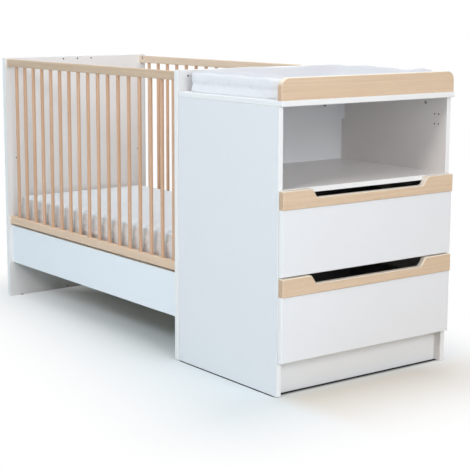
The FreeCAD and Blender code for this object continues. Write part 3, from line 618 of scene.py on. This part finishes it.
def applied(piece):
    """Replaces a piece's mesh by what its modifiers make of it, and takes the modifiers off."""
    shown = piece.evaluated_get(bpy.context.evaluated_depsgraph_get())
    mesh = bpy.data.meshes.new_from_object(shown)
    piece.modifiers.clear()
    piece.data = mesh


def remeshed(piece, square):
    """Even squares over the whole shell."""
    remesh = piece.modifiers.new("even_squares", "REMESH")
    remesh.mode = "VOXEL"
    remesh.voxel_size = square
    applied(piece)


def filled(piece, pressure, limit):
    """Swells a shell by cloth pressure: every point goes the simulation's way, by no more than the limit.

    What comes back is how far the simulation itself went, on average and at most.
    """
    start = coordinates(piece.data)
    cloth = piece.modifiers.new("filling", "CLOTH")
    cloth.settings.use_pressure = True
    cloth.settings.uniform_pressure_force = pressure
    cloth.settings.effector_weights.gravity = 0
    cloth.settings.quality = 4
    for moment in range(1, FILL_FRAMES + 1):
        scene.frame_set(moment)
    applied(piece)
    move = coordinates(piece.data) - start
    length = np.linalg.norm(move, axis=1, keepdims=True)
    kept = start + move * np.minimum(1, limit / np.maximum(length, 1e-9))
    set_coordinates(piece.data, kept)
    scene.frame_set(1)
    return float(length.mean()), float(length.max())


print("filling takes", FILL_FRAMES, "frames a piece")

# %% [markdown]
# ## The mattress in its sheet
#
# A foam cot mattress stands 110 mm high in a fitted cover. The top is drawn smooth, the edges are close,
# and the walls show slanting folds where the elastic below pulls the cloth down, most of them at one place
# near the head. On the long sides the cloth hangs loose and stands out towards the slats, and the shell is
# drawn a little fuller than the solid towards the rear rail. It is filled first; the folds are finer than
# the remesh could carry through, so they come afterwards, as ridges that run down the walls at a slant.

# %% The mattress shell
MATTRESS_CORNER = 0.030
MATTRESS_EDGE = 0.012
MATTRESS_CROWN = 0.004
MATTRESS_SHRINK = 0.001
REAR_FILL = 0.006
MATTRESS_SQUARE = 0.006
low, high = (np.array(corner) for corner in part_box("mattress"))
high[1] += REAR_FILL
mattress_middle = (low + high) / 2
mattress_half = (high - low) / 2 - MATTRESS_SHRINK
mattress_floor = low[2]
mattress_height = high[2] - low[2] - MATTRESS_SHRINK


def mattress_rows(columns=260):
    """Rows from the middle of the underside round the edges to the crowned middle of the top.

    The edge is a quarter circle below and above; the top rises by the crown as the square of the way to
    its middle.
    """
    bend = np.linspace(0, np.pi / 2, 7)
    ways = np.linspace(0, 1, 14)
    inner = mattress_half[1] * INNERMOST
    below = [(inner + (MATTRESS_EDGE - inner) * way, 0.0) for way in ways[:-1]]
    lower = [(MATTRESS_EDGE * (1 - np.sin(a)), MATTRESS_EDGE * (1 - np.cos(a))) for a in bend]
    shoulder = mattress_height - MATTRESS_EDGE - MATTRESS_CROWN
    wall = [(0.0, z) for z in np.linspace(MATTRESS_EDGE, shoulder, 8)[1:-1]]
    upper = [(MATTRESS_EDGE * (1 - np.cos(a)), shoulder + MATTRESS_EDGE * np.sin(a)) for a in bend]
    above = [(MATTRESS_EDGE + (inner - MATTRESS_EDGE) * way,
              mattress_height - MATTRESS_CROWN * (1 - way) ** 2) for way in ways[1:]]
    rows = []
    for inset, height in below + lower + wall + upper + above:
        corner = max(MATTRESS_CORNER - inset, LEAST_CORNER)
        line = outline(mattress_half[0] - inset, mattress_half[1] - inset, corner, columns)
        level = np.full(columns, mattress_floor + height)
        rows.append(np.column_stack([line + mattress_middle[:2], level]))
    return np.array(rows)


rows = mattress_rows()
mattress = new_piece("mattress_in_sheet", rows, grid_faces(*rows.shape[:2]))
remeshed(mattress, MATTRESS_SQUARE)
print("mattress shell:", len(mattress.data.vertices), "points")

# %% Fill it and fold the sheet on its walls
MATTRESS_PRESSURE = 4.0
MATTRESS_LIMIT = 0.003
FOLD_HEIGHT = 0.0075
FOLD_PITCH = 0.040
FOLD_SLANT = 1.15
FOLD_LIMIT = 0.014
LOOSE_CLOTH = 0.006
CREASE_PITCH = 0.40
GATHER_PLACE = -0.31
GATHER_WIDTH = 0.10
GATHER_SHARE = 1.2
RAIL_ROOM = 0.0005


def bell(value, place, width, height):
    """A bell curve of some width and height about a place."""
    return height * np.exp(-((value - place) / width) ** 2)


def fold_ridge(run, drop, pitch, slant, phase):
    """Ridges across a wall: a cosine of the way along it, slanted by the drop, swayed and cubed."""
    sway = 0.9 * np.sin(run * 7.3 + phase) + 0.5 * np.sin(run * 17.9 + 2 * phase)
    wave = 0.5 + 0.5 * np.cos(2 * np.pi * (run / pitch + slant * drop) + sway)
    return wave ** 3


def sheet_folds(points, directions):
    """How far each point of the sheet stands out.

    On the walls two families of slanting folds take turns along the way, creases cross them where the sheet
    is gathered, and on the long sides the loose cloth stands out below the edge. The top stays smooth.
    """
    drop = (mattress_floor + mattress_height - points[:, 2]) / mattress_height
    wall = soft_step(1 - np.abs(directions[:, 2]), 0.25, 0.8) * soft_step(drop, 0.06, 0.40)
    long_side = np.abs(directions[:, 1]) > np.abs(directions[:, 0])
    run = np.where(long_side, points[:, 0], points[:, 1])
    patch = 0.5 + 0.5 * np.sin(run * 9.1 + 1.3) * np.sin(run * 4.7)
    one = fold_ridge(run, drop, FOLD_PITCH, FOLD_SLANT, 0.4)
    other = fold_ridge(run, drop, FOLD_PITCH * 1.7, -FOLD_SLANT * 0.8, 2.1)
    gathered = bell(run, GATHER_PLACE, GATHER_WIDTH, GATHER_SHARE)
    tuck = gathered * fold_ridge(drop, run, CREASE_PITCH, -1.1, 1.1)
    loose = LOOSE_CLOTH * long_side * soft_step(drop, 0.10, 0.50)
    raised = loose + FOLD_HEIGHT * (one * patch + 0.8 * other * (1 - patch) + tuck)
    return wall * np.minimum(raised, FOLD_LIMIT)


swelling = filled(mattress, MATTRESS_PRESSURE, MATTRESS_LIMIT)
points = coordinates(mattress.data)
points += normals(mattress.data) * sheet_folds(points, normals(mattress.data))[:, None]
front_face, rear_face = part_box("front_bottom_rail")[1][1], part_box("rear_bottom_rail")[0][1]
points[:, 1] = np.clip(points[:, 1], front_face + RAIL_ROOM, rear_face - RAIL_ROOM)
points[:, 2] = np.maximum(points[:, 2], mattress_floor)
set_coordinates(mattress.data, points)
shade_smooth(mattress.data)
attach(mattress, "mattress")
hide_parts("mattress")
print("mattress: the simulation went", [round(1000 * v, 2) for v in swelling], "mm on average and at most,",
      "kept to", 1000 * MATTRESS_LIMIT)

# %% [markdown]
# ## Cotton for the sheet
#
# The cover is knitted cotton. Its colour is painted light and shade: a bluish white where it looks up, as
# lit from above, and greyer, a little warmer, on its border, as in the shade of the slats and rails. The
# loops are about a millimetre wide, so they are a bump and not a shape: waves along the three directions,
# multiplied in pairs, make a small net on any face whatever way it looks, with no map to be stretched. A
# little sheen from the fibre ends keeps the white from looking like paint.

# %% The sheet's material
def knit_group():
    """A net of small loops: products of sine waves along pairs of directions, with a slow unevenness."""
    group, start, end = new_group("knit", [("Place", "vector"), ("Loop", "value")],
                                  [("Height", "value"), ("Cloud", "value")])
    wide = vector_calc(group, "SCALE", start.outputs["Place"])
    turns = wide.node
    group.links.new(calc(group, "DIVIDE", 2 * math.pi, start.outputs["Loop"]), turns.inputs["Scale"])
    parts = add(group, "SeparateXYZ", [(0, wide)]).outputs
    waves = [calc(group, "SINE", part) for part in parts]
    net = calc(group, "ADD", calc(group, "MULTIPLY", waves[0], waves[1]),
               calc(group, "ADD", calc(group, "MULTIPLY", waves[1], waves[2]),
                    calc(group, "MULTIPLY", waves[0], waves[2])))
    group.links.new(calc(group, "MULTIPLY_ADD", net, 0.25, 0.5), end.inputs["Height"])
    group.links.new(noise(group, start.outputs["Place"], scale=9.0, detail=3.0), end.inputs["Cloud"])
    return group


knit = knit_group()
SHEET_LOOP = 0.0014
# Painted light on the top and painted shade on the border.
SHEET_TOP_PAINTED_LIGHT = ((0.85, 0.895, 0.95, 1.0), (0.90, 0.935, 0.975, 1.0))
SHEET_BORDER_PAINTED_SHADE = ((0.76, 0.725, 0.705, 1.0), (0.82, 0.785, 0.765, 1.0))


def cotton_sheet():
    """Knitted cotton with a soft sheen, painted bluish white where it looks up and a painted shade, greyer,
    on the border.
    """
    material, tree, shader, place = new_material("mattress_fabric")
    cloth = use_group(tree, knit, [("Place", place), ("Loop", SHEET_LOOP)])
    upward = facing(tree)[2]
    white = blend_colour(tree, cloth.outputs["Cloud"], *SHEET_TOP_PAINTED_LIGHT)
    grey = blend_colour(tree, cloth.outputs["Cloud"], *SHEET_BORDER_PAINTED_SHADE)
    # Painted light and shade by which way the cloth faces: light where it looks up, shade on the border.
    colour = blend_colour(tree, step_up(tree, upward, 0.35, 0.85), grey, white)
    tree.links.new(colour, shader.inputs["Base Color"])
    rough = calc(tree, "MULTIPLY_ADD", cloth.outputs["Height"], 0.12, 0.80)
    tree.links.new(rough, shader.inputs["Roughness"])
    shader.inputs["Sheen Weight"].default_value = 0.15
    raise_surface(tree, shader, cloth.outputs["Height"], depth=0.0003)
    return material


put_on(mattress, cotton_sheet())
print("sheet:", mattress.data.materials[0].name)

# %% [markdown]
# ## The changing mat
#
# The mat is foam in a coated cover: a low pad that runs out open behind the lip, with a thick roll along
# the back and both ends. The walls stand straight, and one seam goes round them a third of the way up. The
# rows go out along the underside, up the wall and back over a top whose height depends on the way from the
# back and from the ends.

# %% The changing mat shell
MAT_CORNER = 0.050
MAT_SHRINK = 0.002
MAT_SINK = 0.008
MAT_PAD = 0.036
MAT_ROLL = 0.034
MAT_SLOPE = 0.080
MAT_EDGE = 0.011
MAT_SQUARE = 0.0055
FAR_ROLL = (0.15, 0.30)
FAR_HUMP = (0.82, 0.035, 0.003)
FAR_DIP = (0.70, 0.06, 0.005)
ROLL_SWAY = 0.0015
low, high = (np.array(corner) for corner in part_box("changing_mat"))
mat_middle = (low + high) / 2
mat_half = (high - low) / 2 - MAT_SHRINK
mat_floor = low[2]
mat_height = high[2] - low[2] - MAT_SINK


def mat_top(points):
    """Height of the top: full on the roll, then down an S curve to the pad.

    The way in from the back and the ends is a smooth minimum: inverse cubes, summed and turned back. The far
    roll is filled unevenly, with a hump and a dip.
    """
    to_end = mat_half[1] - np.abs(points[:, 1] - mat_middle[1])
    to_back = points[:, 0] - mat_middle[0] + mat_half[0]
    nearest = (np.maximum(to_end, 0.001) ** -3 + np.maximum(to_back, 0.001) ** -3) ** (-1 / 3)
    roll = 1 - soft_step(nearest, MAT_ROLL, MAT_ROLL + MAT_SLOPE)
    far = soft_step(points[:, 1], *FAR_ROLL)
    uneven = bell(points[:, 0], *FAR_HUMP) - bell(points[:, 0], *FAR_DIP)
    sway = ROLL_SWAY * np.sin(points[:, 0] * 41.0 + points[:, 1] * 17.0)
    return MAT_PAD + roll * (mat_height - MAT_PAD + far * uneven + sway)


def mat_rows(columns=220):
    """Rows from the middle of the underside out to the wall, up it, round its edge and in over the top."""
    inner = mat_half[0] * INNERMOST
    turn = np.linspace(0, np.pi / 2, 5)
    edge = [(MAT_EDGE * (1 - np.cos(a)), MAT_EDGE * (1 - np.sin(a))) for a in turn]
    under = [(inset, None) for inset in np.linspace(inner, 0.0, 12)]
    over = [(inset, 0.0) for inset in np.linspace(MAT_EDGE, inner, 34)[1:]]
    rows = []
    for inset, drop in under + edge + over:
        corner = max(MAT_CORNER - inset, LEAST_CORNER)
        line = outline(mat_half[0] - inset, mat_half[1] - inset, corner, columns) + mat_middle[:2]
        height = np.zeros(columns) if drop is None else mat_top(line) - drop
        rows.append(np.column_stack([line, mat_floor + height]))
    return np.array(rows)


rows = mat_rows()
mat = new_piece("changing_mat_cover", rows, grid_faces(*rows.shape[:2]))
remeshed(mat, MAT_SQUARE)
print("mat shell:", len(mat.data.vertices), "points")

# %% Fill it and draw in its seam
MAT_PRESSURE = 4.0
MAT_LIMIT = 0.003
SEAM_HEIGHT = 0.027
SEAM_DEPTH = 0.0035
SEAM_WIDTH = 0.006
PUCKER_PITCH = 0.032
PUCKER_DEPTH = 0.0009
PUCKER_REACH = 3.2
FOOT_FLARE = 0.003
FOOT_HEIGHT = 0.010


def seam_draw(points, directions):
    """How far the seam pulls the wall in: a narrow bell at its height, with puckers that fade beside it."""
    wall = soft_step(1 - np.abs(directions[:, 2]), 0.3, 0.8)
    off = (points[:, 2] - mat_floor - SEAM_HEIGHT) / SEAM_WIDTH
    run = np.where(np.abs(directions[:, 1]) > np.abs(directions[:, 0]), points[:, 0], points[:, 1])
    pucker = np.cos(2 * np.pi * run / PUCKER_PITCH + 1.4 * np.sin(run * 23.0))
    return wall * (bell(off, 0, 1, SEAM_DEPTH) + pucker * bell(off, 0, PUCKER_REACH, PUCKER_DEPTH))


def settled(points, directions):
    """The foot of the wall, spread by a bell of the height and pressed down by a soft step of it."""
    height = np.maximum(points[:, 2] - mat_floor, 0)
    spread = bell(height, 0, FOOT_HEIGHT, FOOT_FLARE)
    points[:, :2] += directions[:, :2] * spread[:, None]
    points[:, 2] = mat_floor + height * soft_step(height, -0.3 * FOOT_HEIGHT, FOOT_HEIGHT)
    return points


swelling = filled(mat, MAT_PRESSURE, MAT_LIMIT)
points = coordinates(mat.data)
points -= normals(mat.data) * seam_draw(points, normals(mat.data))[:, None]
points = settled(points, normals(mat.data))
set_coordinates(mat.data, points)
shade_smooth(mat.data)
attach(mat, "changing_mat")
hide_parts("changing_mat")
print("mat: the simulation went", [round(1000 * v, 2) for v in swelling], "mm on average and at most,",
      "kept to", 1000 * MAT_LIMIT)

# %% The mat's coated cover
COVER_LOOP = 0.0011
COVER_BORDER = ((0.80, 0.805, 0.83, 1.0), (0.85, 0.855, 0.87, 1.0))
# Painted shade: the cover's colour where it looks up, greyer than its walls.
COVER_TOP_PAINTED_SHADE = ((0.60, 0.61, 0.655, 1.0), (0.64, 0.65, 0.685, 1.0))


def coated_cover():
    """Wipeable coated cloth: a leathery grain over a hint of the knit below, satin, with a painted shade
    that makes it greyer where it looks up.
    """
    material, tree, shader, place = new_material("mat_vinyl")
    leather = add(tree, "TexVoronoi", [("Vector", place), ("Scale", 620.0)], feature="SMOOTH_F1")
    cells = leather.outputs["Distance"]
    cloth = use_group(tree, knit, [("Place", place), ("Loop", COVER_LOOP)])
    upward = facing(tree)[2]
    border = blend_colour(tree, cloth.outputs["Cloud"], *COVER_BORDER)
    top = blend_colour(tree, cloth.outputs["Cloud"], *COVER_TOP_PAINTED_SHADE)
    # The top gets the painted shade, the walls their own colour.
    colour = blend_colour(tree, step_up(tree, upward, 0.45, 0.95), border, top)
    tree.links.new(colour, shader.inputs["Base Color"])
    tree.links.new(calc(tree, "MULTIPLY_ADD", cells, 0.25, 0.40), shader.inputs["Roughness"])
    hint = calc(tree, "MULTIPLY", cloth.outputs["Height"], 0.3)
    grain = calc(tree, "ADD", calc(tree, "MULTIPLY", cells, 0.7), hint)
    raise_surface(tree, shader, grain, depth=0.00012)
    return material


put_on(mat, coated_cover())
print("cover:", mat.data.materials[0].name)

# %% [markdown]
# ## Floor, background and light
#
# The cot stands on a white studio floor that runs out into white. A floor lit to pure white would burn out
# the boards as well. So the floor is a pale one that takes the shadows, and only what the camera sees
# of it goes over to white, by its distance from the place that the cot stands on. Near the chest its colour
# also carries a painted warm light in front of the drawers and a painted shadow under the chest. Light
# that bounces off it stays plain.

# %% The floor
FLOOR_SIZE = 40.0
FLOOR_COOL = (0.69, 0.75, 0.77, 1.0)
# Painted light: the floor's colour in front of the drawers, standing for warm light there.
FLOOR_PAINTED_WARM_LIGHT = (0.60, 0.53, 0.42, 1.0)
FLOOR_WHITE = (-0.26, 0.535)
FLOOR_SKEW = 0.19
# Painted shadow: the near-black floor under the chest and just in front of its plinth.
FLOOR_PAINTED_SHADOW = (0.03, 0.028, 0.025, 1.0)
FLOOR_CELLS = 8
SHADOW_REACH = 0.024
SHADOW_SOFT = 0.001
WARM_ALONG = (-0.10, 0.05)
WARM_ACROSS = (-0.05, 0.09)


def seen_rays(tree):
    """1 for rays from the camera, off a mirror or through glass, and 0 for rays that only carry light."""
    paths = add(tree, "LightPath").outputs
    mirrored = calc(tree, "MAXIMUM", paths["Is Glossy Ray"], paths["Is Transmission Ray"])
    return calc(tree, "MAXIMUM", paths["Is Camera Ray"], mirrored)


def beyond(tree, value, middle, half):
    """How far a value lies outside a stretch with that middle and half length, negative inside it."""
    return calc(tree, "SUBTRACT", calc(tree, "ABSOLUTE", calc(tree, "SUBTRACT", value, middle)), half)


def studio_floor():
    """A pale floor that seen rays find white further out.

    The white grows with the distance from a box round the feet of the cot, negative inside it. The box is
    skewed, so that the white begins sooner at the head and later at the chest. In front of the drawers the
    colour turns to a painted warm light. The floor under the chest, and a strip in front of its plinth, is
    painted near black, a painted shadow for the dark gap at the chest's foot, and is kept out of the white.
    """
    material = bpy.data.materials.new("studio_floor")
    material.use_nodes = True
    tree = material.node_tree
    tree.nodes.clear()
    place = add(tree, "TexCoord").outputs["Object"]
    parts = add(tree, "SeparateXYZ", [(0, place)]).outputs
    low, high = np.array(cad_box[0]), np.array(cad_box[1])
    # Mask of the painted warm light in front of the drawers.
    warm = calc(tree, "MULTIPLY", step_up(tree, parts[0], *[float(high[0] + way) for way in WARM_ALONG]),
                step_up(tree, parts[1], *[float(low[1] + way) for way in WARM_ACROSS]))
    skewed = calc(tree, "MULTIPLY_ADD", parts[0], FLOOR_SKEW, parts[1])
    middle, half = (low + high) / 2, (high - low) / 2
    off_x = beyond(tree, parts[0], middle[0], half[0])
    off_y = beyond(tree, skewed, middle[1], half[1])
    squares = [calc(tree, "POWER", calc(tree, "MAXIMUM", off, 0.0), 2.0) for off in (off_x, off_y)]
    outside = calc(tree, "SQRT", calc(tree, "ADD", *squares))
    away = calc(tree, "ADD", outside, calc(tree, "MINIMUM", calc(tree, "MAXIMUM", off_x, off_y), 0.0))
    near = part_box("chest_left_side")[0]
    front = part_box("chest_plinth")[1]
    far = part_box("chest_right_side")[1]
    # The painted shadow's mask: under the chest, reaching a little past the plinth.
    along = calc(tree, "SUBTRACT", step_up(tree, parts[0], near[0], near[0] + 2 * SHADOW_SOFT),
                 step_up(tree, parts[0], front[0], front[0] + SHADOW_REACH))
    between = calc(tree, "SUBTRACT", step_up(tree, parts[1], near[1] - SHADOW_SOFT, near[1] + SHADOW_SOFT),
                   step_up(tree, parts[1], far[1] - SHADOW_SOFT, far[1] + SHADOW_SOFT))
    under = calc(tree, "MULTIPLY", along, between)
    open_floor = blend_colour(tree, warm, FLOOR_COOL, FLOOR_PAINTED_WARM_LIGHT)
    plain = add(tree, "BsdfDiffuse", [("Color", blend_colour(tree, under, open_floor, FLOOR_PAINTED_SHADOW))])
    whiter = calc(tree, "MULTIPLY", step_up(tree, away, *FLOOR_WHITE), calc(tree, "SUBTRACT", 1.0, under))
    white = add(tree, "Emission", [("Color", FULL_WHITE), ("Strength", 1.0)])
    faded = add(tree, "MixShader", [(0, whiter), (1, plain.outputs[0]), (2, white.outputs[0])])
    shown = add(tree, "MixShader", [(0, seen_rays(tree)), (1, plain.outputs[0]), (2, faded.outputs[0])])
    tree.links.new(shown.outputs[0], add(tree, "OutputMaterial").inputs["Surface"])
    return material


across = FLOOR_CELLS + 1
side = np.linspace(-FLOOR_SIZE, FLOOR_SIZE, across)
grid_x, grid_y = np.meshgrid(side, side, indexing="ij")
floor_points = np.stack([grid_x, grid_y, np.zeros_like(grid_x)], axis=-1)
cell = np.arange(FLOOR_CELLS)
corner = (cell[:, None] * across + cell[None, :]).reshape(-1)
floor_faces = np.stack([corner, corner + across, corner + across + 1, corner + 1], axis=-1).tolist()
floor = new_piece("studio_floor", floor_points, floor_faces)
put_on(floor, studio_floor())
print("floor of", len(floor_faces), "squares")

# %% [markdown]
# The light is a weak dome with five soft lamps: one overhead, one towards the drawers, a cool one, as from
# a window, towards the slatted side, a smaller one from the corner of the chest, which puts the slats'
# shadows on the mattress, and a weak one behind, so that the rear is not left dark. The dome is white where
# it is seen, and much dimmer where it lights.

# %% Background and lamps
DOME_LIGHT = (0.88, 0.94, 1.0, 1.0)
DOME_STRENGTH = 0.23

world = bpy.data.worlds.new("studio")
scene.world = world
world.use_nodes = True
tree = world.node_tree
tree.nodes.clear()
dome = add(tree, "Background", [("Color", DOME_LIGHT), ("Strength", DOME_STRENGTH)])
white = add(tree, "Background", [("Color", FULL_WHITE), ("Strength", 1.0)])
shown = add(tree, "MixShader", [(0, seen_rays(tree)), (1, dome.outputs[0]), (2, white.outputs[0])])
tree.links.new(shown.outputs[0], add(tree, "OutputWorld").inputs["Surface"])


def soft_lamp(name, place, aim, size, power, colour):
    """A square lamp at a place, turned to face another."""
    light = bpy.data.lights.new(name, "AREA")
    light.shape = "SQUARE"
    light.size = size
    light.energy = power
    light.color = colour
    lamp = bpy.data.objects.new(name, light)
    way = np.array(aim) - np.array(place)
    flat = math.hypot(way[0], way[1])
    lamp.location = place
    lamp.rotation_euler = (math.atan2(flat, -way[2]), 0, math.atan2(-way[0], way[1]))
    bpy.context.collection.objects.link(lamp)
    return lamp


lamps = [
    soft_lamp("lamp_above", (-0.3, -0.6, 4.2), (0.0, 0.0, 0.4), 4.0, 70.0, (1.0, 0.97, 0.92)),
    soft_lamp("lamp_drawers", (5.2, -0.6, 2.4), (0.6, 0.0, 0.5), 3.0, 130.0, (0.96, 0.97, 1.0)),
    soft_lamp("lamp_slats", (-1.0, -4.2, 3.7), (0.0, 0.0, 0.4), 2.6, 38.0, (0.43, 0.81, 1.0)),
    soft_lamp("lamp_key", (2.15, -4.45, 3.65), (0.2, 0.0, 0.4), 1.2, 106.0, (0.98, 0.93, 0.93)),
    soft_lamp("lamp_rear", (-3.4, 4.2, 2.6), (0.0, 0.0, 0.6), 3.0, 48.0, (0.90, 0.95, 1.0)),
]
print(len(lamps), "lamps")
